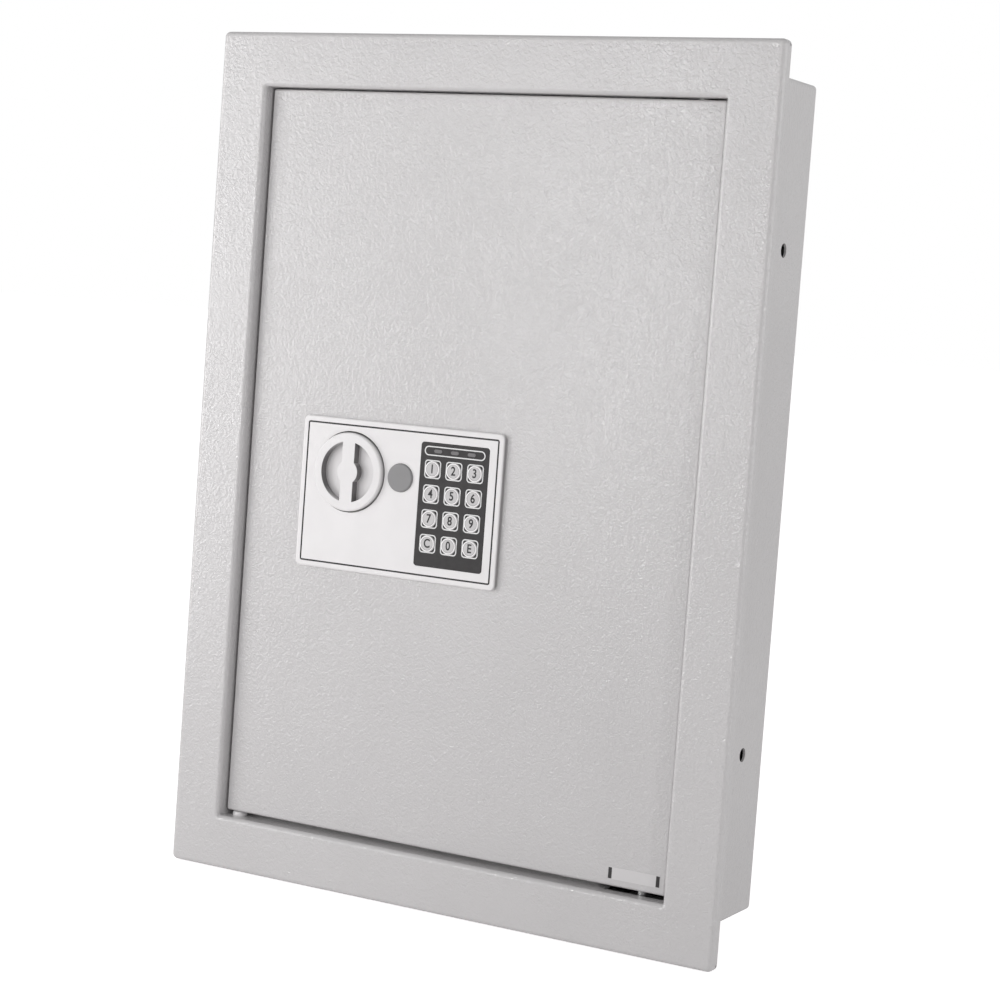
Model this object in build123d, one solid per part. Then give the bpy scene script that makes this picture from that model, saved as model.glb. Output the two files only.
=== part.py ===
from build123d import *
import os

# Flat electronic wall safe. Millimetres. X runs to the right, Y runs into the wall, Z is up.
# The flange's front face is Y = 0 and the flange is centred on X = 0, Z = 0. The export moves
# every piece so that the origin is the bottom centre of the bounding box.
# A rectangle is (x0, x1, z0, z1) and a centre is (x, z), both seen from the front.


def centred(width, height, x=0, z=0):
    """Rectangle of the given size around (x, z)."""
    return x - width / 2, x + width / 2, z - height / 2, z + height / 2


# ---- flange frame and door opening ----
FRAME_W, FRAME_H = 402.0, 561.0
FRAME = centred(FRAME_W, FRAME_H)
LIP_DEPTH = 8.0                      # outer lip, folded back to the wall
SHEET = 1.5
BEND_R = 3.0                         # outer bend radius of the flange
CORNER_R = 3.7
OPEN_HALF_W, OPEN_HALF_H = 165.1, 244.8
OPENING = centred(2 * OPEN_HALF_W, 2 * OPEN_HALF_H)
OPEN_R = 0.8
RETURN_DEPTH = 22.0                  # depth of the opening's folded return

# ---- body ----
BODY_HALF_W, BODY_HALF_H, BODY_BACK = 182.0, 264.0, 104.0
BODY = centred(2 * BODY_HALF_W, 2 * BODY_HALF_H)
BODY_R = 3.0
SHELF_ZS = (92.0, -92.0)

# ---- door and hinge ----
DOOR_Y, DOOR_DEPTH, DOOR_T = 8.0, 12.0, 2.0   # door face is set back in the opening
DOOR = DOOR_X0, DOOR_X1, DOOR_Z0, DOOR_Z1 = -163.6, 163.3, -241.6, 244.0
DOOR_R = 1.6
DOOR_INNER_Y = DOOR_Y + DOOR_T
PIN_X, PIN_Y, PIN_R = 145.0, 15.0, 3.0
BRACKET_Z, BRACKET_T = 250.0, 3.0    # hinge bracket's face nearest the opening, and thickness

# ---- control panel ----
PANEL = (-120.3, 30.7, -68.8, 31.2)
PANEL_Y = 5.0
BEZEL_SCREWS = ((-113.0, 24.0), (-113.0, -61.0), (-37.5, 24.0), (-37.5, -61.0))
KNOB = KNOB_X, KNOB_Z = -82.4, -3.5
KNOB_R, KNOB_Y = 25.8, 1.7
LOCK = LOCK_X, LOCK_Z = -43.7, -3.6  # axis of the override lock and its cap
LOCK_R, CAP_R, CAP_Y = 8.0, 9.3, 3.7
PLUG_R = 5.0
KEYPAD_X, KEYPAD_Z = -4.5, -18.7
KEYPAD = centred(50.1, 80.1, KEYPAD_X, KEYPAD_Z)
KEYPAD_BACK = centred(45.2, 75.2, KEYPAD_X, KEYPAD_Z)
KEYPAD_Y = 4.8
KEY_R = 5.4
KEY_XS = (-20.05, -4.45, 11.15)
KEY_ZS = (4.2, -11.8, -27.8, -43.8)
KEY_NAMES = (("1", "2", "3"), ("4", "5", "6"), ("7", "8", "9"), ("clear", "0", "enter"))
LED_XS, LED_Z = (-16.8, -4.5, 7.8), 16.0
LED_HALF = 1.75                      # from a light's middle to the centre of its round end

# ---- lock ----
BASE_Y0, BASE_Y1 = 14.0, 15.5        # lock base plate
LOCK_X0, LOCK_X1 = -150.0, 34.0      # left and right edges of the base plate
STANDOFFS = ((-140.0, 60.0), (-140.0, -60.0), (-70.0, 62.0), (-70.0, -64.0), (24.0, 58.0))
STUD_R = 2.0
BOLT_TRAVEL = 18.0
# The crank pin starts at 45 degrees, so 90 degrees of knob moves the bolts by their travel.
CRANK_PIN = CRANK_PIN_X, CRANK_PIN_Z = KNOB_X + BOLT_TRAVEL / 2, KNOB_Z + BOLT_TRAVEL / 2
SPINDLE_Y, CRANK_BACK = 18.4, 21.0
BOLT_Y, BOLT_R, BOLT_TAIL_R = 32.0, 7.0, 3.95
BOLT_ZS = (36.7, -43.3)
BOLT_TIP_X, CARRIAGE_X = -152.0, -130.0
POSTS = ((-108.0, 26.0), (-108.0, -33.0))
SOLENOID = SOLENOID_X, SOLENOID_Y = -48.0, 24.0
COIL_Z0, COIL_Z1 = 37.5, 66.5
COVER_Y = 50.0
COVER_BOSSES = ((27.0, 71.5), (-143.0, 71.5), (-143.0, -69.6), (-38.5, -69.6))
SCREW_SEAT_Y = COVER_Y - 2.2
BATTERY_DOOR = (-28.9, 27.9, -67.9, -16.1)
RESET = (8.0, 58.0)

# Y ranges of cutters
DOOR_CUT = (0, 12)
BASE_CUT = (10, 20)
CARRIAGE_CUT = (20, 30)
COVER_CUT_END = COVER_Y + 1


# ============================ helpers ======================================================
def block(x0, x1, y0, y1, z0, z1):
    """Box between two values on each axis, given in either order."""
    size = abs(x1 - x0), abs(y1 - y0), abs(z1 - z0)
    return Pos((x0 + x1) / 2, (y0 + y1) / 2, (z0 + z1) / 2) * Box(*size)


def disc(centre, radius, y0, y1):
    """Cylinder along Y."""
    x, z = centre
    return Pos(x, (y0 + y1) / 2, z) * Rot(90, 0, 0) * Cylinder(radius, y1 - y0)


def rod_x(y, z, radius, x0, x1):
    return Pos((x0 + x1) / 2, y, z) * Rot(0, 90, 0) * Cylinder(radius, x1 - x0)


def rod_z(x, y, radius, z0, z1):
    """Cylinder along Z, ends in either order."""
    return Pos(x, y, (z0 + z1) / 2) * Cylinder(radius, abs(z1 - z0))


def plate(rect, radius, y0, y1, inset=0):
    """Rectangle with rounded corners, shrunk by inset on every side, from y0 to y1."""
    x0, x1, z0, z1 = rect
    outline = RectangleRounded(x1 - x0 - 2 * inset, z1 - z0 - 2 * inset, radius)
    solid = extrude(Plane.XZ * outline, amount=y1 - y0)
    return Pos((x0 + x1) / 2, y1, (z0 + z1) / 2) * solid


def slot(start, end, radius, y0, y1):
    """Level or upright slot between the centres of its round ends."""
    (x0, z0), (x1, z1) = start, end
    dx, dz = (0, radius) if z0 == z1 else (radius, 0)
    middle = block(x0 - dx, x1 + dx, y0, y1, z0 - dz, z1 + dz)
    return middle + disc(start, radius, y0, y1) + disc(end, radius, y0, y1)


def hexagon(centre, radius, y1, thickness):
    """Hexagonal prism whose back face is at y1."""
    x, z = centre
    return Pos(x, y1, z) * extrude(Plane.XZ * RegularPolygon(radius, 6), amount=thickness)


def edges_at(solid, axis, place, tol=1e-3):
    """Edges that lie in the plane where the axis ("X", "Y" or "Z") equals place."""
    def near(point):
        return abs(getattr(point, axis) - place) < tol
    return [e for e in solid.edges() if near(e.center()) and all(near(v) for v in e.vertices())]


def round_at(solid, y, radius):
    return fillet(edges_at(solid, "Y", y), radius)


# ============================ fixed pieces =================================================
def face_frame():
    """Flange face, outer lip and the opening's return."""
    half_w, half_h = FRAME_W / 2, FRAME_H / 2
    outer = round_at(plate(FRAME, CORNER_R, 0, LIP_DEPTH), 0, BEND_R)
    inner = plate(FRAME, CORNER_R - SHEET, SHEET, LIP_DEPTH + 1, inset=SHEET)
    inner = round_at(inner, SHEET, BEND_R - SHEET)
    tube = plate(OPENING, OPEN_R + SHEET, SHEET / 2, RETURN_DEPTH, inset=-SHEET)
    frame = (outer - inner) + tube
    frame = frame - plate(OPENING, OPEN_R, -1, RETURN_DEPTH + 1)
    rim = [e for e in edges_at(frame, "Y", 0)
           if abs(e.center().X) < OPEN_HALF_W + 0.5 and abs(e.center().Z) < OPEN_HALF_H + 0.5]
    frame = fillet(rim, BEND_R)
    # hinge notches in the lower and upper returns
    for z in (-OPEN_HALF_H, OPEN_HALF_H):
        frame -= block(119.5, 162.6, 11.3, RETURN_DEPTH + 1, z - 3, z + 3)
    # small relief holes where the lips meet at the corners
    for x in (-half_w + 1.2, half_w - 1.2):
        for z in (-half_h + 3.15, half_h - 3.15):
            frame -= rod_x(6.4, z, 0.8, x - 3, x + 3)
    return frame


def body_shell():
    """Deep pan, open at the front, with two holes in each side wall."""
    hole_r, hole_y, hole_z = 4.5, 69.0, 158.6
    shell = round_at(plate(BODY, BODY_R, SHEET, BODY_BACK), BODY_BACK, BODY_R - 0.2)
    inner_back, inner_r = BODY_BACK - SHEET, BODY_R - SHEET
    cavity = plate(BODY, inner_r, SHEET - 1, inner_back, inset=SHEET)
    shell -= round_at(cavity, inner_back, inner_r - 0.2)
    for z in (-hole_z, hole_z):
        shell -= rod_x(hole_y, z, hole_r, -BODY_HALF_W - 5, BODY_HALF_W + 5)
    return shell


def door_stops():
    """Flat strips behind the opening's left, top and bottom edges."""
    depth = RETURN_DEPTH, RETURN_DEPTH + SHEET
    edge_x, edge_z = OPEN_HALF_W + SHEET, OPEN_HALF_H + SHEET
    stops = [block(-edge_x, -156.5, *depth, -edge_z, edge_z)]
    for side in (1, -1):
        stops.append(block(-156.4, 112.0, *depth, side * (OPEN_HALF_H - 7.0), side * edge_z))
    return Compound(children=stops)


def door_bumpers():
    front = 20.3
    return Compound(children=[
        round_at(disc((-159.4, z), 2.8, front, RETURN_DEPTH), front, 0.6)
        for z in (200.0, 90.0, -90.0, -200.0)])


def hinge_brackets():
    """Plates carrying the hinge pins, with three walls that reach the body shell."""
    x0, x1, y0, y1 = 114.0, 172.0, 3.0, 38.0
    brackets = []
    for side in (-1, 1):
        near, far = side * BRACKET_Z, side * (BRACKET_Z + BRACKET_T)
        shell = side * (BODY_HALF_H - SHEET)
        bracket = block(x0, x1, y0, y1, near, far)
        bracket += (block(x0, x1, y1 - BRACKET_T, y1, near, shell)
                    + block(x0, x0 + BRACKET_T, y0, y1, near, shell)
                    + block(x1 - BRACKET_T, x1, y0, y1, near, shell))
        bracket -= rod_z(PIN_X, PIN_Y, PIN_R + 0.02, near - side, far + side)
        brackets.append(bracket)
    return Compound(children=brackets)


def hinge_pins():
    pins = []
    for side, tip in ((-1, -232.5), (1, 235.0)):
        head = side * (BRACKET_Z + BRACKET_T)
        end = head + side * 2.5
        pin = rod_z(PIN_X, PIN_Y, PIN_R, tip, end) + rod_z(PIN_X, PIN_Y, 5.0, head, end)
        pins.append(chamfer(edges_at(pin, "Z", tip), 0.7))
    return Compound(children=pins)


def door_rest_button():
    top = -242.0
    button = rod_z(-156.0, 13.5, 5.0, -OPEN_HALF_H, top)
    return fillet(edges_at(button, "Z", top), 1.6)


def shelf(z):
    """Shelf with its front edge folded down and its back edge folded up."""
    half_w, front, back, sheet = 179.0, 36.0, 101.5, 1.2
    return (block(-half_w, half_w, front, back, z, z + sheet)
            + block(-half_w, half_w, front, front + sheet, z - 9.0, z + sheet)
            + block(-half_w, half_w, back - sheet, back, z, z + 10.0))


def shelf_brackets():
    """Angles on the side walls, one under each shelf end."""
    depth, leg = (45.0, 92.0), 1.4
    wall = BODY_HALF_W - SHEET
    return Compound(children=[
        block(side * wall, side * (wall - leg), *depth, z - 12.0, z)
        + block(side * wall, side * 168.0, *depth, z - leg, z)
        for z in SHELF_ZS for side in (-1, 1)])


# ============================ door =========================================================
def door_panel():
    door = plate(DOOR, DOOR_R + 0.3, DOOR_Y, DOOR_Y + DOOR_DEPTH)
    door = round_at(door, DOOR_Y, DOOR_R)
    door -= plate(DOOR, 0.6, DOOR_INNER_Y, DOOR_Y + DOOR_DEPTH + 1, inset=DOOR_T)
    door -= disc(KNOB, KNOB_R + 1.8, *DOOR_CUT)
    door -= disc(LOCK, LOCK_R + 0.3, *DOOR_CUT)
    door -= plate(KEYPAD_BACK, 2.0, *DOOR_CUT, inset=-0.4)
    for screw in BEZEL_SCREWS:
        door -= disc(screw, 1.7, *DOOR_CUT)
    for z in (DOOR_Z0, DOOR_Z1):
        door -= rod_z(PIN_X, PIN_Y, 4.0, z - 4, z + 4)
    return door


def door_stiffeners():
    """Two upright channels, open towards the door face."""
    width, back, z0, z1 = 22.0, 18.0, -224.0, 226.0
    return Compound(children=[
        block(x, x + width, DOOR_INNER_Y, back, z0, z1)
        - block(x + SHEET, x + width - SHEET, DOOR_INNER_Y - 1, back - SHEET, z0 - 1, z1 + 1)
        for x in (56.0, 104.0)])


def hinge_bushes():
    bushes = []
    for side, rim, tip in ((-1, DOOR_Z0, -232.0), (1, DOOR_Z1, 234.5)):
        bush = rod_z(PIN_X, PIN_Y, 3.98, rim, tip)
        bush += rod_z(PIN_X, PIN_Y, 4.6, rim, rim + side * 0.4)
        bore = rod_z(PIN_X, PIN_Y, PIN_R + 0.06, rim + side * 5, tip - side * 5)
        bushes.append(bush - bore)
    return Compound(children=bushes)


# ============================ lock =========================================================
def lock_base_plate():
    base = block(LOCK_X0, LOCK_X1, BASE_Y0, BASE_Y1, -74.0, 78.0)
    base -= disc(KNOB, 7.02, *BASE_CUT) + disc(LOCK, LOCK_R + 0.05, *BASE_CUT)
    base -= block(-12.0, 2.0, *BASE_CUT, -67.0, -63.0)    # slot for the keypad cable
    for stud in STANDOFFS:
        base -= disc(stud, STUD_R + 0.05, *BASE_CUT)
    return base


def base_standoffs():
    """Standoffs with thinner studs, and a separate nut on each stud."""
    pieces, nut_t = [], 3.0
    for stud in STANDOFFS:
        pieces.append(disc(stud, 4.0, DOOR_INNER_Y, BASE_Y0) + disc(stud, STUD_R, BASE_Y0, 19.5))
        nut = hexagon(stud, 4.0, BASE_Y1 + nut_t, nut_t)
        pieces.append(nut - disc(stud, STUD_R + 0.02, 10, 25))
    return Compound(children=pieces)


def bolt_guide():
    guide = block(BOLT_TIP_X, LOCK_X0, BASE_Y0, 43.0, -66.0, 60.0)
    guide += block(BOLT_TIP_X, -143.0, BASE_Y1, 17.0, -54.0, 54.0)
    for z in BOLT_ZS:
        guide -= rod_x(BOLT_Y, z, BOLT_R + 0.15, -155, -145)
    return guide


def guide_posts():
    """Headed posts, with a neck that runs in the carriage slot."""
    return Compound(children=[
        disc(post, 5.0, BASE_Y1, 22.6) + disc(post, 3.0, 22.6, 25.5) + disc(post, 5.0, 25.5, 27.0)
        for post in POSTS])


def knob():
    """Round knob with a recess on each side of its upright grip."""
    body = round_at(disc(KNOB, KNOB_R, KNOB_Y, 9.0), KNOB_Y, 1.3)
    recess = disc(KNOB, 19.8, KNOB_Y - 1, KNOB_Y + 5.6)
    grip_y = KNOB_Y - 2, KNOB_Y + 6.5
    grip = block(KNOB_X - 4.8, KNOB_X + 4.8, *grip_y, KNOB_Z - 25, KNOB_Z + 25)
    grip += disc(KNOB, 7.8, *grip_y)
    sides = recess - grip
    body -= Compound(children=[
        fillet(side.edges().filter_by(Axis.Y), 1.3) for side in sides.solids()])
    middle = Vector(KNOB_X, KNOB_Y, KNOB_Z)
    rim = [e for e in edges_at(body, "Y", KNOB_Y) if (e.center() - middle).length < 21.5]
    return fillet(rim, 0.35)


def knob_square(half, y0, y1):
    return block(KNOB_X - half, KNOB_X + half, y0, y1, KNOB_Z - half, KNOB_Z + half)


def knob_spindle():
    return disc(KNOB, 5.0, 9.0, SPINDLE_Y) + knob_square(3, SPINDLE_Y, 21.8)


def crank_disc():
    crank = disc(KNOB, 17.2, 18.5, CRANK_BACK) + disc(CRANK_PIN, 3.0, CRANK_BACK, 27.5)
    return crank - knob_square(3.05, 17, 23)


def spindle_bush():
    bush = disc(KNOB, 7.0, BASE_Y0, 18.0) + disc(KNOB, 9.5, 12.4, BASE_Y0)
    return bush - disc(KNOB, 5.06, *BASE_CUT)


def bolt_carriage():
    """Sliding plate with a tail to the right and an upright flange that holds the bolts."""
    y0, y1, z0, z1, plate_x1 = 23.0, 25.0, -54.0, 47.5, -62.0
    carriage = block(CARRIAGE_X, plate_x1, y0, y1, z0, z1)
    carriage += block(plate_x1, -38.0, y0, y1, 8.0, 20.0)
    carriage += block(CARRIAGE_X, CARRIAGE_X + 2.0, y0, 40.0, z0, z1)
    carriage -= slot((CRANK_PIN_X, KNOB_Z + 8.7), (CRANK_PIN_X, KNOB_Z + 13.0), 3.5,
                     *CARRIAGE_CUT)
    for x, z in POSTS:
        carriage -= slot((x - 0.05, z), (x + BOLT_TRAVEL + 0.05, z), 3.2, *CARRIAGE_CUT)
    carriage -= (plate((-98.0, -76.0, -30.0, -14.0), 3.0, *CARRIAGE_CUT)
                 + plate((-124.0, -116.0, -20.0, 12.0), 3.0, *CARRIAGE_CUT))
    for z in BOLT_ZS:
        carriage -= rod_x(BOLT_Y, z, BOLT_TAIL_R + 0.05, CARRIAGE_X - 5, -120)
    return carriage


def locking_bolts():
    bolts = []
    for z in BOLT_ZS:
        bolt = rod_x(BOLT_Y, z, BOLT_R, BOLT_TIP_X, CARRIAGE_X)
        bolt += rod_x(BOLT_Y, z, BOLT_TAIL_R, CARRIAGE_X, -126.5)
        bolts.append(fillet(edges_at(bolt, "X", BOLT_TIP_X), 1.2))
    return Compound(children=bolts)


# The solenoid blocks the carriage tail.
def solenoid_frame():
    x0, x1, y1, z0, z1 = SOLENOID_X - 11, SOLENOID_X + 11, 34.0, COIL_Z0 - SHEET, COIL_Z1 + SHEET
    frame = (block(x0, x1, BASE_Y1, BASE_Y1 + SHEET, z0, z1)
             + block(x0, x1, BASE_Y1, y1, z0, COIL_Z0)
             + block(x0, x1, BASE_Y1, y1, COIL_Z1, z1))
    return frame - rod_z(*SOLENOID, 3.3, 30, 40)


def solenoid_coil():
    coil = rod_z(SOLENOID_X, SOLENOID_Y + 1.2, 8.0, COIL_Z0, COIL_Z1)
    return coil - rod_z(*SOLENOID, 3.15, 37.0, 62.0)


def solenoid_plunger():
    return rod_z(*SOLENOID, 3.0, 26.0, 61.0) + rod_z(*SOLENOID, 5.0, 28.0, 30.0)


def plunger_spring():
    path = Helix(pitch=1.45, height=5.0, radius=3.9)
    wire = sweep(Plane(origin=path @ 0, z_dir=path % 0) * Circle(0.35), path=path)
    return Pos(*SOLENOID, 30.5) * wire


def key_cylinder():
    return disc(LOCK, LOCK_R, 7.0, 21.0) - disc(LOCK, PLUG_R + 0.06, 5, 25)


def cylinder_nut():
    return hexagon(LOCK, 12.0, 19.0, 3.4) - disc(LOCK, LOCK_R + 0.02, 10, 25)


def key_plug():
    """Plug with a key slot in front and two flats at the back."""
    plug = disc(LOCK, PLUG_R, 6.9, 22.4)
    plug -= block(LOCK_X - 0.7, LOCK_X + 0.7, 5, 16.0, LOCK_Z - 3.6, LOCK_Z + 3.6)
    for side in (-1, 1):
        plug -= block(LOCK_X + side * 6, LOCK_X + side * 3.6, CRANK_BACK, 23.0,
                      LOCK_Z - 6, LOCK_Z + 6)
    return plug


def key_cam():
    y0, y1 = 21.1, 22.4
    cam = disc(LOCK, 6.6, y0, y1)
    cam += block(LOCK_X - 4.0, LOCK_X + 4.0, y0, y1, LOCK_Z - 15.0, LOCK_Z)
    flats = block(LOCK_X - 3.62, LOCK_X + 3.62, 20, 24, LOCK_Z - 6, LOCK_Z + 6)
    return cam - (disc(LOCK, PLUG_R + 0.02, 20, 24) & flats)


def override_cap():
    return round_at(disc(LOCK, CAP_R, CAP_Y, 6.4), CAP_Y, 0.9)


# ============================ electronics and batteries ====================================
def circuit_board():
    """Board with four raised parts on its back face and four feet on the base plate."""
    front, back = 17.0, 18.6
    board = (block(-30.0, 31.0, front, back, -62.0, 50.0)
             + block(-20.0, -6.0, back, 21.0, 10.0, 24.0)
             + block(8.0, 24.0, back, 22.0, 26.0, 34.0)
             + disc((-22.0, 40.0), 3.0, back, 28.0)
             + block(2.0, 14.0, back, 24.0, -2.0, 6.0))
    for foot in ((-26.0, 46.0), (27.0, 46.0), (-26.0, -58.0), (27.0, -58.0)):
        board += disc(foot, 2.5, BASE_Y1, front)
    return board


def keypad_board():
    return block(KEYPAD_X - 22, KEYPAD_X + 22, 11.6, 13.0, KEYPAD_Z - 37, KEYPAD_Z + 37)


def keypad_cable():
    """Flat cable that runs down, back through the base plate and up again."""
    x0, x1, y0, y1, low, thick = -11.0, 1.0, 13.0, 17.0, -65.6, 0.4
    return (block(x0, x1, y0, y0 + thick, low + thick, -50.0)
            + block(x0, x1, y0, y1, low, low + thick)
            + block(x0, x1, y1 - thick, y1, low, -55.0))


def battery_tray():
    return block(-32.0, 31.0, 29.5, 48.0, -71.0, -13.0) - block(-30.6, 29.6, 31.0, 49.0, -69.6, -14.4)


def batteries():
    """Four upright cells, every other one upside down."""
    y, middle, half, nub = 38.25, -41.5, 24.6, 1.3
    cells = []
    for i in range(4):
        x = -23.0 + i * 15.0
        side = 1 if i % 2 else -1
        cell = rod_z(x, y, 7.2, middle - half, middle + half)
        cell += rod_z(x, y, 2.7, middle + side * half, middle + side * (half + nub))
        cells.append(cell)
    return Compound(children=cells)


# ============================ lock cover ===================================================
def lock_cover():
    """Cover over the lock, open towards the bolts."""
    cover = round_at(plate((-149.6, LOCK_X1, -75.0, 79.0), 4.0, BASE_Y1, COVER_Y), COVER_Y, 3.0)
    cover -= block(-151.0, LOCK_X1 - 2.0, BASE_Y1 - 1, COVER_Y - 2.0, -73.0, 77.0)
    for boss in COVER_BOSSES:
        cover += disc(boss, 4.0, BASE_Y1, COVER_Y - 1.0)
    for boss in COVER_BOSSES:
        cover -= disc(boss, 1.6, 20.0, COVER_CUT_END) + disc(boss, 3.3, SCREW_SEAT_Y, COVER_CUT_END)
    cover -= plate(BATTERY_DOOR, 2.5, 46.0, COVER_CUT_END, inset=-0.3)
    cover -= disc(RESET, 3.2, 40.0, COVER_CUT_END)
    return cover


def cover_screws():
    """Cross-slotted screws."""
    slot_y, long, short = (COVER_Y - 1.4, COVER_Y), 2.0, 0.4
    screws = []
    for x, z in COVER_BOSSES:
        screw = disc((x, z), 3.1, SCREW_SEAT_Y, COVER_Y - 0.4)
        screw += disc((x, z), 1.55, 24.0, SCREW_SEAT_Y)
        screw -= (block(x - long, x + long, *slot_y, z - short, z + short)
                  + block(x - short, x + short, *slot_y, z - long, z + long))
        screws.append(screw)
    return Compound(children=screws)


def battery_door():
    door = round_at(plate(BATTERY_DOOR, 2.3, 48.0, COVER_Y), COVER_Y, 0.5)
    for i in range(5):
        z = -62.0 + i * 3.0
        door -= block(-10.0, 9.0, COVER_Y - 0.6, COVER_CUT_END, z, z + 1.2)
    return door


def reset_button():
    front, back = 44.0, 51.4
    return round_at(disc(RESET, 3.0, front, back) + disc(RESET, 4.4, front, 46.0), back, 0.6)


# ============================ control panel ================================================
def panel_bezel():
    """Panel with a scored border line."""
    inset, width = 3.65, 1.1
    bezel = round_at(plate(PANEL, 4.0, PANEL_Y, DOOR_Y), PANEL_Y, 1.3)
    groove = plate(PANEL, 1.6, PANEL_Y - 1, PANEL_Y + 0.6, inset=inset)
    bezel -= groove - plate(PANEL, 0.5, PANEL_Y - 2, PANEL_Y + 1, inset=inset + width)
    bezel -= disc(KNOB, KNOB_R + 0.9, *DOOR_CUT)
    bezel -= disc(LOCK, CAP_R + 0.12, 0, 6.5)
    bezel -= disc(LOCK, LOCK_R + 0.15, *DOOR_CUT)
    bezel -= plate(KEYPAD, 2.2, *DOOR_CUT, inset=-0.1)
    for screw in BEZEL_SCREWS:
        bezel -= disc(screw, 1.3, 6.2, 12)
    return bezel


def bezel_screws():
    return Compound(children=[
        disc(screw, 1.28, 6.3, DOOR_INNER_Y) + disc(screw, 2.8, DOOR_INNER_Y, 12.0)
        for screw in BEZEL_SCREWS])


def led_slot(x, radius, y0, y1):
    return slot((x - LED_HALF, LED_Z), (x + LED_HALF, LED_Z), radius, y0, y1)


def keypad_plate():
    pad = round_at(plate(KEYPAD, 2.1, KEYPAD_Y, DOOR_Y), KEYPAD_Y, 0.4)
    pad += plate(KEYPAD_BACK, 1.6, DOOR_Y, 9.4)
    for x in KEY_XS:
        for z in KEY_ZS:
            pad -= disc((x, z), KEY_R + 0.15, *DOOR_CUT)
    for x in LED_XS:
        pad -= led_slot(x, 1.25, *DOOR_CUT)
    return pad


def led_lenses():
    return Compound(children=[led_slot(x, 1.15, 4.5, 9.0) for x in LED_XS])


def key(centre):
    front, back = 3.9, 9.6
    return round_at(disc(centre, KEY_R, front, back), front, 0.7) + disc(centre, 6.6, back, 10.6)


def blank_label():
    return block(123.7, 159.2, DOOR_Y - 0.15, DOOR_Y, -237.0, -229.6)


# ============================ export =======================================================
BUILDERS = (
    face_frame, body_shell, door_stops, door_bumpers, hinge_brackets, hinge_pins,
    door_rest_button, shelf_brackets, door_panel, door_stiffeners, hinge_bushes,
    lock_base_plate, base_standoffs, bolt_guide, guide_posts, knob, knob_spindle, crank_disc,
    spindle_bush, bolt_carriage, locking_bolts, solenoid_frame, solenoid_coil,
    solenoid_plunger, plunger_spring, key_cylinder, cylinder_nut, key_plug, key_cam,
    override_cap, circuit_board, keypad_board, keypad_cable, battery_tray, batteries,
    lock_cover, cover_screws, battery_door, reset_button, panel_bezel, bezel_screws,
    keypad_plate, led_lenses, blank_label)
pieces = {build.__name__: build() for build in BUILDERS}
for name, z in zip(("shelf_upper", "shelf_lower"), SHELF_ZS):
    pieces[name] = shelf(z)
for names, z in zip(KEY_NAMES, KEY_ZS):
    for name, x in zip(names, KEY_XS):
        pieces["key_" + name] = key((x, z))

os.makedirs("parts", exist_ok=True)
PLACE = Pos(0, -BODY_BACK / 2, FRAME_H / 2)
for name, piece in pieces.items():
    solids = [PLACE * solid for solid in piece.solids()]
    out = Compound(children=solids) if len(solids) > 1 else solids[0]
    out.label = name
    export_step(out, os.path.join("parts", name + ".step"))
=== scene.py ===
# A flanged steel safe with a keypad lock: its surface finishes, the outlines and marks
# printed on its keypad, and a pale studio around it.
# It stands on the floor at Z = 0 with its door facing -Y, X running left to right and +Z up.
# Design sizes are in millimetres from the front centre of the flange; at() turns them
# into the metres of the frame.
import math

import bmesh
import bpy
from mathutils import Matrix, Vector


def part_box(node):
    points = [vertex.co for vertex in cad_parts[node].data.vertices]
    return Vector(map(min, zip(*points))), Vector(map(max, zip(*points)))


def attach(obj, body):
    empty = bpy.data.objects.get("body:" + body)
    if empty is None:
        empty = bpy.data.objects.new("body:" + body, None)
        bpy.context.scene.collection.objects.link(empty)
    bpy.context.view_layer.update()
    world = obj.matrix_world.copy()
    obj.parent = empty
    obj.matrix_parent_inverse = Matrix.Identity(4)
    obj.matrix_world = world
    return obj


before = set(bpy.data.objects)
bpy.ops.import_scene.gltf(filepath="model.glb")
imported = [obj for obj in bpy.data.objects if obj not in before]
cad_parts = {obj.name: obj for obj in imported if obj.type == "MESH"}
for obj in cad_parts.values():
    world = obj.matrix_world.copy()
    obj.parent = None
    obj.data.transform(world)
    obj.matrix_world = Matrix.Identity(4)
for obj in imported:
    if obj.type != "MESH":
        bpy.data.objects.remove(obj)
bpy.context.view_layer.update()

MM = 0.001
FLANGE_Y = -52.0             # front face of the flange in the frame
FLANGE_Z = 280.5             # height of the flange's centre

PAINT_TONE = 202             # grey level of the outer powder coat

PANEL_BORDER = 3.0           # plain margin round the panel moulding
PANEL_SKIN = 0.1             # depth behind the panel's front where the painted shade begins
KNOB_X, KNOB_Z = -82.4, -3.5
KNOB_RECESS_RADIUS = 20.6    # the painted shade of the recesses lies within this radius
BOARD_DARK_Y = 18.8          # board material behind this depth is dark

KEYS = ["1", "2", "3", "4", "5", "6", "7", "8", "9", "clear", "0", "enter"]
KEY_MARKS = {"clear": "C", "enter": "E"}   # the other keys carry their own name
PRINT_THICKNESS = 0.05
KEY_OUTLINE = {"width": 12.0, "height": 12.0, "radius": 2.3, "line": 0.78, "segments": 10}
LIGHTS_OUTLINE = {"width": 44.6, "height": 6.2, "radius": 3.09, "line": 0.74, "segments": 16}
LIGHTS_OUTLINE_SHIFT = -0.1  # the outline sits this far along X from the lenses' centre
MARK_SIZE = 7.9
MARK_EXTRUDE = 0.04
MARK_WEIGHT = 0.16           # outward offset that thickens the strokes
MARK_NARROWING = 0.86
MARK_LIFT = 0.01             # distance in front of the key's face

FLOOR_SIZE = 60.0            # metres
FLOOR_Z = -0.0005            # metres


def at(x, y, z):
    """A point in design millimetres, in the frame in metres."""
    return Vector((x * MM, (y + FLANGE_Y) * MM, (z + FLANGE_Z) * MM))


def design_centre(piece):
    """X and Z of the centre of a piece, in design millimetres."""
    low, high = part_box(piece)
    return (low.x + high.x) / 2 / MM, (low.z + high.z) / 2 / MM - FLANGE_Z


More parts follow.
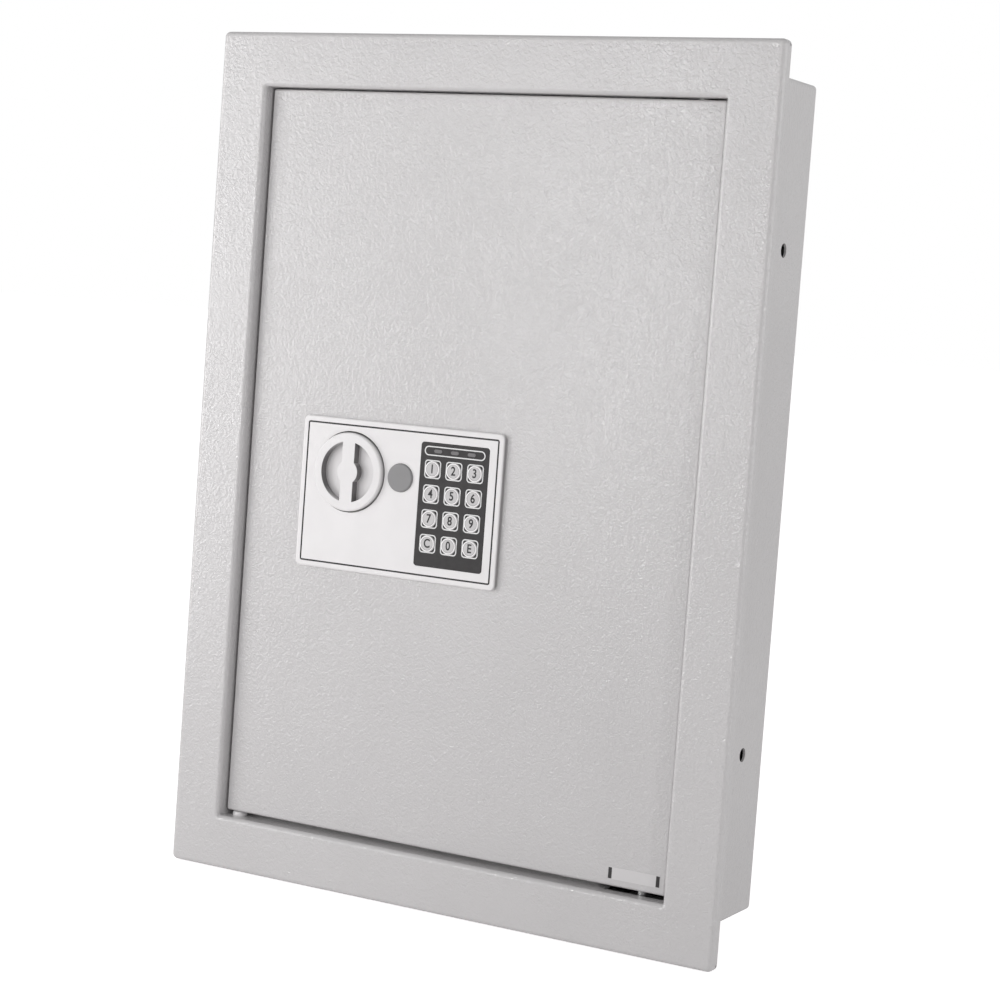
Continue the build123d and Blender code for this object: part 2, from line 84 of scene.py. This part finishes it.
def srgb(level):
    """Linear value of an sRGB level from 0 to 255."""
    level = level / 255.0
    return level / 12.92 if level <= 0.04045 else ((level + 0.055) / 1.055) ** 2.4


def rgb(red, green, blue):
    return (srgb(red), srgb(green), srgb(blue), 1.0)


def grey(level):
    """A very slightly warm grey."""
    return rgb(level + 1, level - 1, level - 0.5)


def darker(color, factor):
    return tuple(c * factor for c in color[:3]) + (1.0,)


# ------------------------------------------------------------------ shader building
def add_node(tree, kind, inputs=None, **attributes):
    """Add a shader node; each input is given either a socket to link or a plain value."""
    node = tree.nodes.new(kind)
    for name, value in attributes.items():
        setattr(node, name, value)
    for key, value in (inputs or {}).items():
        if isinstance(value, bpy.types.NodeSocket):
            tree.links.new(value, node.inputs[key])
        else:
            node.inputs[key].default_value = value
    return node


def add_math(tree, operation, *values):
    return add_node(tree, "ShaderNodeMath", dict(enumerate(values)), operation=operation).outputs[0]


class Surface:
    """A principled surface whose colour, bump and roughness are built up in layers."""

    def __init__(self, name, color, rough, metallic=0.0, specular=0.5, coat=0.0):
        self.material = bpy.data.materials.new(name)
        self.material.use_nodes = True
        self.material.diffuse_color = color
        self.tree = self.material.node_tree
        self.shader = self.tree.nodes["Principled BSDF"]
        self.set("Roughness", rough)
        self.set("Metallic", metallic)
        self.set("Specular IOR Level", specular)
        self.set("Coat Weight", coat)
        self.coordinates = self.add("ShaderNodeTexCoord")
        base = self.add("ShaderNodeRGB")
        base.outputs[0].default_value = color
        self.color = base.outputs[0]
        self.normal = None

    def set(self, name, value):
        self.shader.inputs[name].default_value = value

    def drive(self, name, socket):
        self.tree.links.new(socket, self.shader.inputs[name])

    def add(self, kind, inputs=None, **attributes):
        return add_node(self.tree, kind, inputs, **attributes)

    def math(self, operation, *values):
        return add_math(self.tree, operation, *values)

    def xyz(self, space="Object"):
        source = self.coordinates.outputs[space]
        return self.add("ShaderNodeSeparateXYZ", {"Vector": source}).outputs

    def noise(self, scale, detail=3.0, roughness=0.5, distortion=0.0, stretch=None):
        node = self.add("ShaderNodeTexNoise", {
            "Scale": scale, "Detail": detail, "Roughness": roughness, "Distortion": distortion})
        vector = self.coordinates.outputs["Object"]
        if stretch:
            mapping = self.add("ShaderNodeMapping", {"Scale": stretch, "Vector": vector})
            vector = mapping.outputs["Vector"]
        self.tree.links.new(vector, node.inputs["Vector"])
        return node.outputs["Fac"]

    def remap(self, value, from_low, from_high, to_low, to_high):
        return self.add("ShaderNodeMapRange", {
            "From Min": from_low, "From Max": from_high,
            "To Min": to_low, "To Max": to_high, "Value": value}).outputs["Result"]

    def distance(self, value, centre):
        return self.math("ABSOLUTE", self.math("SUBTRACT", value, centre))

    def radius(self, x, z, centre_x, centre_z):
        """Distance from an axis that runs along Y."""
        dx = self.math("SUBTRACT", x, centre_x)
        dz = self.math("SUBTRACT", z, centre_z)
        x_squared = self.math("MULTIPLY", dx, dx)
        z_squared = self.math("MULTIPLY", dz, dz)
        return self.math("SQRT", self.math("ADD", x_squared, z_squared))

    def between(self, value, low, high):
        above = self.math("GREATER_THAN", value, low)
        return self.math("MULTIPLY", above, self.math("LESS_THAN", value, high))

    def painted_shade_facing_x(self, normal, start, full, amount):
        """Mask of faces turned to the piece's own +X for painted shade, so the painted shade turns
        with the door.
        """
        geometry = self.add("ShaderNodeNewGeometry")
        split = self.add("ShaderNodeSeparateXYZ")
        own_axes = self.add(
            "ShaderNodeVectorTransform", {"Vector": geometry.outputs[normal]},
            vector_type="NORMAL", convert_from="WORLD", convert_to="OBJECT")
        self.tree.links.new(own_axes.outputs["Vector"], split.inputs["Vector"])
        return self.remap(split.outputs["X"], start, full, 0.0, amount)

    def mix(self, factor, color):
        """Lay a colour over what is there."""
        # Colour sockets of the mix node: 6 and 7 go in, 2 comes out.
        node = self.add("ShaderNodeMix", data_type="RGBA",
                        inputs={"Factor": factor, 6: self.color, 7: color})
        self.color = node.outputs[2]
        self.drive("Base Color", self.color)

    def vary(self, scale, color, low=0.4, high=0.7, amount=0.6, detail=3.0):
        """Lay a colour on in noise patches."""
        self.mix(self.remap(self.noise(scale, detail), low, high, 0.0, amount), color)

    def bump(self, height, strength, depth):
        """Add relief over the bumps so far; depth is in millimetres."""
        node = self.add("ShaderNodeBump", {
            "Strength": strength, "Distance": depth * MM, "Height": height})
        if self.normal is not None:
            self.tree.links.new(self.normal, node.inputs["Normal"])
        self.normal = node.outputs["Normal"]
        self.drive("Normal", self.normal)

    def grain(self, scale, strength, depth, detail=1.0, **noise):
        self.bump(self.noise(scale, detail, **noise), strength, depth)

    def vary_roughness(self, low, high, scale):
        value = self.noise(scale, detail=2.0)
        self.drive("Roughness", self.remap(value, 0.3, 0.7, low, high))


# ------------------------------------------------------------------ materials
def powder(name, tone, grain=1.0):
    """Powder coat: a leathery orange-peel over a fine grit, under a clear coat."""
    s = Surface(name, grey(tone), rough=0.42, specular=0.4, coat=0.95)
    s.set("Coat Roughness", 0.10)
    s.vary(scale=14.0, color=grey(tone - 4))
    s.vary(scale=900.0, color=grey(tone - 8), low=0.55, high=0.75, amount=0.5, detail=2.0)
    s.grain(scale=430.0, strength=0.95 * grain, depth=0.44, detail=2.0, distortion=0.8)
    s.grain(scale=1500.0, strength=0.12 * grain, depth=0.08, detail=1.5)
    s.vary_roughness(low=0.38, high=0.54, scale=260.0)
    s.drive("Coat Normal", s.normal)
    return s.material


def plastic(name, color, rough, grit=1.0, specular=0.5):
    s = Surface(name, color, rough=rough, specular=specular)
    s.vary(scale=60.0, color=darker(color, 0.94))
    s.grain(scale=4200.0, strength=0.10 * grit, depth=0.03)
    s.vary_roughness(low=rough - 0.05, high=rough + 0.06, scale=300.0)
    return s.material


def metal(name, color, rough, brushed=True):
    s = Surface(name, color, rough=rough, metallic=1.0)
    s.vary(scale=70.0, color=darker(color, 0.82), low=0.35, high=0.75, amount=0.7)
    if brushed:
        s.grain(scale=300.0, strength=0.12, depth=0.05, detail=3.0, roughness=0.6,
                stretch=(1.0, 1.0, 14.0))
    s.vary_roughness(low=rough - 0.08, high=rough + 0.08, scale=120.0)
    return s.material


def panel_white():
    """Off-white moulding, with painted shade in its groove and holes behind the front face and on
    faces turned to +X.
    """
    s = Surface("panel_white", grey(236), rough=0.42, specular=0.45)
    s.vary(scale=50.0, color=grey(231))
    x, y, z = s.xyz()
    low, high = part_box("panel_bezel")
    centre, half = (low + high) / 2, (high - low) / 2
    inside_x = s.math("LESS_THAN", s.distance(x, centre.x), half.x - PANEL_BORDER * MM)
    inside_z = s.math("LESS_THAN", s.distance(z, centre.z), half.z - PANEL_BORDER * MM)
    deep = s.math("GREATER_THAN", y, low.y + PANEL_SKIN * MM)
    # painted shade: grooves and hole walls behind the panel's front are coloured dark
    s.mix(s.math("MULTIPLY", s.math("MULTIPLY", inside_x, inside_z), deep), grey(30))
    # painted shade on the panel's faces turned to +X
    s.mix(s.painted_shade_facing_x("True Normal", start=0.55, full=0.98, amount=0.85), grey(138))
    s.grain(scale=2600.0, strength=0.08, depth=0.03)
    s.vary_roughness(low=0.38, high=0.50, scale=240.0)
    return s.material


def knob_white():
    """White moulding, with painted shade on recess walls turned to +X and in tight corners."""
    s = Surface("knob_white", grey(234), rough=0.40, specular=0.5)
    s.vary(scale=60.0, color=grey(228))
    x, _, z = s.xyz()
    centre = at(KNOB_X, 0, KNOB_Z)
    radius = s.radius(x, z, centre.x, centre.z)
    turned = s.painted_shade_facing_x("Normal", start=0.25, full=0.85, amount=0.88)
    in_recess = s.math("LESS_THAN", radius, KNOB_RECESS_RADIUS * MM)
    # painted shade on the recess walls turned to +X
    s.mix(s.math("MULTIPLY", turned, in_recess), grey(66))
    # painted shade in tight corners and pockets, from ambient occlusion
    occlusion = s.add("ShaderNodeAmbientOcclusion", {"Distance": 5.0 * MM})
    shadow = s.math("SUBTRACT", 1.0, occlusion.outputs["AO"])
    s.mix(s.math("MULTIPLY", shadow, 0.55), grey(120))
    s.grain(scale=4200.0, strength=0.10, depth=0.03)
    s.vary_roughness(low=0.35, high=0.46, scale=300.0)
    return s.material


def key_grey():
    """Grey key with a pale ring near its rim and a darker line just inside the ring."""
    s = Surface("key_grey", grey(200), rough=0.40, specular=0.5)
    x, _, z = s.xyz("Generated")
    radius = s.radius(x, z, 0.5, 0.5)
    ring_inner = 0.335       # fraction of the key's width
    s.mix(s.between(radius, ring_inner, 0.40), grey(246))
    s.mix(s.between(radius, 0.305, ring_inner), grey(166))
    s.grain(scale=3000.0, strength=0.08, depth=0.03)
    s.vary_roughness(low=0.34, high=0.46, scale=200.0)
    return s.material


def label_paper():
    """Blank paper label with a plain dark block at each end."""
    s = Surface("label_paper", grey(212), rough=0.6, specular=0.3)
    s.vary(scale=90.0, color=grey(212), amount=0.7)
    x, _, z = s.xyz("Generated")
    # Distances from the label's centre, as fractions of its height and width.
    up = s.distance(z, 0.5)
    across = s.distance(x, 0.5)
    at_ends = s.between(across, 0.425, 0.494)
    s.mix(s.math("MULTIPLY", at_ends, s.math("LESS_THAN", up, 0.47)), grey(58))
    s.grain(scale=1800.0, strength=0.08, depth=0.02)
    return s.material


def battery_sleeve():
    """Plain two-tone sleeve with bright steel ends, split at fractions of the height."""
    s = Surface("battery_sleeve", rgb(40, 42, 48), rough=0.3, specular=0.5)
    z = s.xyz("Generated")[2]
    s.mix(s.math("GREATER_THAN", z, 0.70), rgb(176, 120, 62))
    top = s.math("GREATER_THAN", z, 0.955)
    ends = s.math("ADD", top, s.math("LESS_THAN", z, 0.045))
    s.mix(ends, grey(205))
    s.drive("Metallic", ends)
    s.grain(scale=900.0, strength=0.05, depth=0.02)
    return s.material


def board_green():
    """Mottled green board, dark at the back."""
    s = Surface("board_green", rgb(28, 92, 52), rough=0.32, specular=0.5)
    s.vary(scale=240.0, color=rgb(44, 120, 70), low=0.52, high=0.56, amount=1.0, detail=1.0)
    y = s.xyz()[1]
    s.mix(s.math("GREATER_THAN", y, at(0, BOARD_DARK_Y, 0).y), grey(38))
    s.grain(scale=500.0, strength=0.12, depth=0.04, detail=2.0)
    return s.material


def coil_winding():
    """Copper wire wound in bands up Z."""
    s = Surface("coil_winding", rgb(150, 84, 40), rough=0.35, metallic=0.7)
    source = s.coordinates.outputs["Object"]
    wave = s.add("ShaderNodeTexWave", {"Scale": 420.0, "Vector": source}, bands_direction="Z")
    s.bump(wave.outputs["Fac"], strength=0.5, depth=0.3)
    s.vary(scale=80.0, color=rgb(120, 64, 30), amount=0.7)
    return s.material


# Each finish and the pieces that wear it.
FINISHES = [
    (powder("powder_coat", PAINT_TONE), "face_frame body_shell"),
    (powder("powder_coat_door", PAINT_TONE - 1), "door_panel"),
    (powder("powder_coat_inner", PAINT_TONE - 8, grain=0.6),
     "door_stops hinge_brackets door_stiffeners shelf_upper shelf_lower shelf_brackets"),
    (metal("zinc_plate", rgb(196, 196, 190), rough=0.38),
     "lock_base_plate base_standoffs bolt_guide guide_posts bolt_carriage crank_disc "
     "solenoid_frame cylinder_nut key_cam cover_screws bezel_screws"),
    (metal("polished_steel", rgb(214, 214, 216), rough=0.16, brushed=False),
     "plunger_spring locking_bolts solenoid_plunger knob_spindle"),
    (metal("satin_brass", rgb(190, 156, 92), rough=0.28, brushed=False),
     "key_cylinder key_plug spindle_bush"),
    (coil_winding(), "solenoid_coil"),
    (panel_white(), "panel_bezel"),
    (knob_white(), "knob"),
    (plastic("keypad_charcoal", rgb(40, 37, 38), rough=0.55), "keypad_plate"),
    (plastic("cover_black", rgb(44, 43, 44), rough=0.5, grit=1.6),
     "lock_cover battery_door battery_tray"),
    (plastic("cap_grey", rgb(137, 136, 137), rough=0.38), "override_cap"),
    (key_grey(), " ".join("key_" + key for key in KEYS)),
    (plastic("led_lens_grey", rgb(122, 120, 121), rough=0.12, grit=0.2, specular=0.8),
     "led_lenses"),
    (plastic("reset_red", rgb(176, 30, 26), rough=0.3), "reset_button"),
    (plastic("bush_nylon", rgb(232, 231, 226), rough=0.5), "hinge_bushes"),
    (plastic("rest_button_white", grey(236), rough=0.22), "door_rest_button"),
    (metal("pin_steel", rgb(168, 168, 168), rough=0.38), "hinge_pins"),
    (plastic("bumper_rubber", rgb(44, 44, 45), rough=0.75, grit=1.5, specular=0.3),
     "door_bumpers"),
    (board_green(), "circuit_board keypad_board"),
    (plastic("ribbon_grey", rgb(150, 150, 156), rough=0.5), "keypad_cable"),
    (battery_sleeve(), "batteries"),
    (label_paper(), "blank_label"),
]
PRINT = plastic("print_white", rgb(232, 232, 232), rough=0.5, grit=0.3)
INK = plastic("print_dark", rgb(30, 29, 30), rough=0.5, grit=0.3)

look = {piece: material for material, pieces in FINISHES for piece in pieces.split()}
for piece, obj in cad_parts.items():
    obj.data.materials.clear()
    obj.data.materials.append(look[piece])


# ------------------------------------------------------------------ keypad printing
def rounded_loop(centre_x, centre_z, half_width, half_height, radius, segments):
    """Points round a rounded rectangle, counter-clockwise from its right side."""
    points = []
    for side_x, side_z, start in ((1, 1, 0), (-1, 1, 90), (-1, -1, 180), (1, -1, 270)):
        for i in range(segments + 1):
            angle = math.radians(start + 90.0 * i / segments)
            points.append((
                centre_x + side_x * (half_width - radius) + radius * math.cos(angle),
                centre_z + side_z * (half_height - radius) + radius * math.sin(angle)))
    return points


def outline(name, x, z, width, height, radius, line, segments):
    """A rounded-rectangle ring printed on the front of the keypad plate."""
    outer = rounded_loop(x, z, width / 2, height / 2, radius, segments)
    inner = rounded_loop(x, z, width / 2 - line, height / 2 - line, radius - line, segments)
    back_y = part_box("keypad_plate")[0].y / MM - FLANGE_Y
    vertices = [at(px, y, pz) for y in (back_y, back_y - PRINT_THICKNESS)
                for loop in (outer, inner) for px, pz in loop]
    count = len(outer)
    back_out, back_in, front_out, front_in = (count * k for k in range(4))
    faces = []
    for i in range(count):
        j = (i + 1) % count
        faces += [
            (front_out + i, front_in + i, front_in + j, front_out + j),
            (back_out + i, front_out + i, front_out + j, back_out + j),
            (back_in + i, back_in + j, front_in + j, front_in + i),
            (back_out + i, back_out + j, back_in + j, back_in + i),
        ]
    mesh = bpy.data.meshes.new(name)
    mesh.from_pydata(vertices, [], faces)
    mesh.update()
    mesh.materials.append(PRINT)
    bm = bmesh.new()
    bm.from_mesh(mesh)
    bmesh.ops.recalc_face_normals(bm, faces=bm.faces)
    bm.to_mesh(mesh)
    bm.free()
    obj = bpy.data.objects.new(name, mesh)
    bpy.context.scene.collection.objects.link(obj)
    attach(obj, "door")


def key_mark(key):
    """The character on a key, upright on its front face."""
    curve = bpy.data.curves.new("digit_" + key, "FONT")
    curve.body = KEY_MARKS.get(key, key)
    curve.align_x = "CENTER"
    curve.align_y = "CENTER"
    curve.size = MARK_SIZE * MM
    curve.extrude = MARK_EXTRUDE * MM
    curve.offset = MARK_WEIGHT * MM
    curve.materials.append(INK)
    obj = bpy.data.objects.new("digit_" + key, curve)
    bpy.context.scene.collection.objects.link(obj)
    low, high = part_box("key_" + key)
    place = Matrix.Translation(((low.x + high.x) / 2, low.y - MARK_LIFT * MM,
                                (low.z + high.z) / 2))
    upright = Matrix.Rotation(math.radians(90), 4, "X")
    obj.matrix_world = place @ upright @ Matrix.Diagonal((MARK_NARROWING, 1.0, 1.0, 1.0))
    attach(obj, "button_" + key)


for key in KEYS:
    outline("outline_" + key, *design_centre("key_" + key), **KEY_OUTLINE)
lights_x, lights_z = design_centre("led_lenses")
outline("outline_lights", lights_x + LIGHTS_OUTLINE_SHIFT, lights_z, **LIGHTS_OUTLINE)
for key in KEYS:
    key_mark(key)


# ------------------------------------------------------------------ floor, light, camera
def build_floor():
    """A pale floor that glows a little, and more to the camera."""
    bpy.ops.mesh.primitive_plane_add(size=FLOOR_SIZE, location=(0, 0, FLOOR_Z))
    floor = bpy.context.object
    floor.name = "floor"
    s = Surface("floor_pale", grey(238), rough=0.9, specular=0.05)
    s.vary(scale=3.0, color=grey(236))
    s.set("Emission Color", (1, 1, 1, 1))
    to_camera = s.add("ShaderNodeLightPath").outputs["Is Camera Ray"]
    s.drive("Emission Strength", s.math("ADD", 0.10, s.math("MULTIPLY", to_camera, 0.62)))
    floor.data.materials.append(s.material)


def build_world():
    """White to the camera; to the object a soft room, brighter at -X, dimmer overhead."""
    level, x_slope, overhead_loss = 0.665, -0.02, 0.34
    world = bpy.data.worlds.new("studio")
    bpy.context.scene.world = world
    world.use_nodes = True
    tree = world.node_tree
    background = tree.nodes["Background"]
    background.inputs["Color"].default_value = (1, 1, 1, 1)
    source = add_node(tree, "ShaderNodeTexCoord").outputs["Generated"]
    x, _, z = add_node(tree, "ShaderNodeSeparateXYZ", {"Vector": source}).outputs
    room = add_math(tree, "ADD", level, add_math(tree, "MULTIPLY", x, x_slope))
    up = add_math(tree, "MAXIMUM", z, 0.0)
    room = add_math(tree, "SUBTRACT", room, add_math(tree, "MULTIPLY", up, overhead_loss))
    to_camera = add_node(tree, "ShaderNodeLightPath").outputs["Is Camera Ray"]
    to_object = add_math(tree, "SUBTRACT", 1.0, to_camera)
    room = add_math(tree, "MULTIPLY", room, to_object)
    strength = add_math(tree, "ADD", room, to_camera)
    tree.links.new(strength, background.inputs["Strength"])


def build_lights():
    # name, location, target, width and height in metres, energy in watts
    lights = [
        ("key_light", (-1.30, -0.95, 0.36), (-0.15, 0, 0.18), 0.8, 0.8, 9.2),
        ("strip_light", (-0.58, -1.50, 0.52), (0.10, 0, 0.42), 0.035, 0.8, 3.4),
        ("edge_light", (1.95, -0.95, 0.45), (0.2, 0, 0.3), 0.12, 1.3, 4.6),
        ("side_light", (2.4, 0.35, 0.7), (0.18, 0, 0.3), 1.2, 1.2, 9.0),
    ]
    for name, location, target, width, height, energy in lights:
        light = bpy.data.lights.new(name, "AREA")
        light.shape = "RECTANGLE"
        light.size = width
        light.size_y = height
        light.energy = energy
        obj = bpy.data.objects.new(name, light)
        bpy.context.scene.collection.objects.link(obj)
        obj.location = location
        aim = Vector(target) - Vector(location)
        obj.rotation_euler = aim.to_track_quat("-Z", "Y").to_euler()


def build_camera():
    """A long lens in front of the safe and to its +X side."""
    camera = bpy.data.cameras.new("camera")
    camera.sensor_width = 36.0
    camera.lens = 85.421
    camera.shift_x = 0.00514
    camera.shift_y = -0.02164
    camera.clip_end = 200.0
    obj = bpy.data.objects.new("camera", camera)
    bpy.context.scene.collection.objects.link(obj)
    right = (0.87599128, 0.47674069, 0.07319555)
    up = (-0.09876434, 0.02875659, 0.99469526)
    backward = (0.47210685, -0.87857349, 0.07227551)
    pose = Matrix((right, up, backward)).transposed().to_4x4()
    pose.translation = at(733.677, -1313.045, 111.343)
    obj.matrix_world = pose
    bpy.context.scene.camera = obj


build_floor()
build_world()
build_lights()
build_camera()

view = bpy.context.scene.view_settings
view.view_transform = "Standard"
view.look = "None"
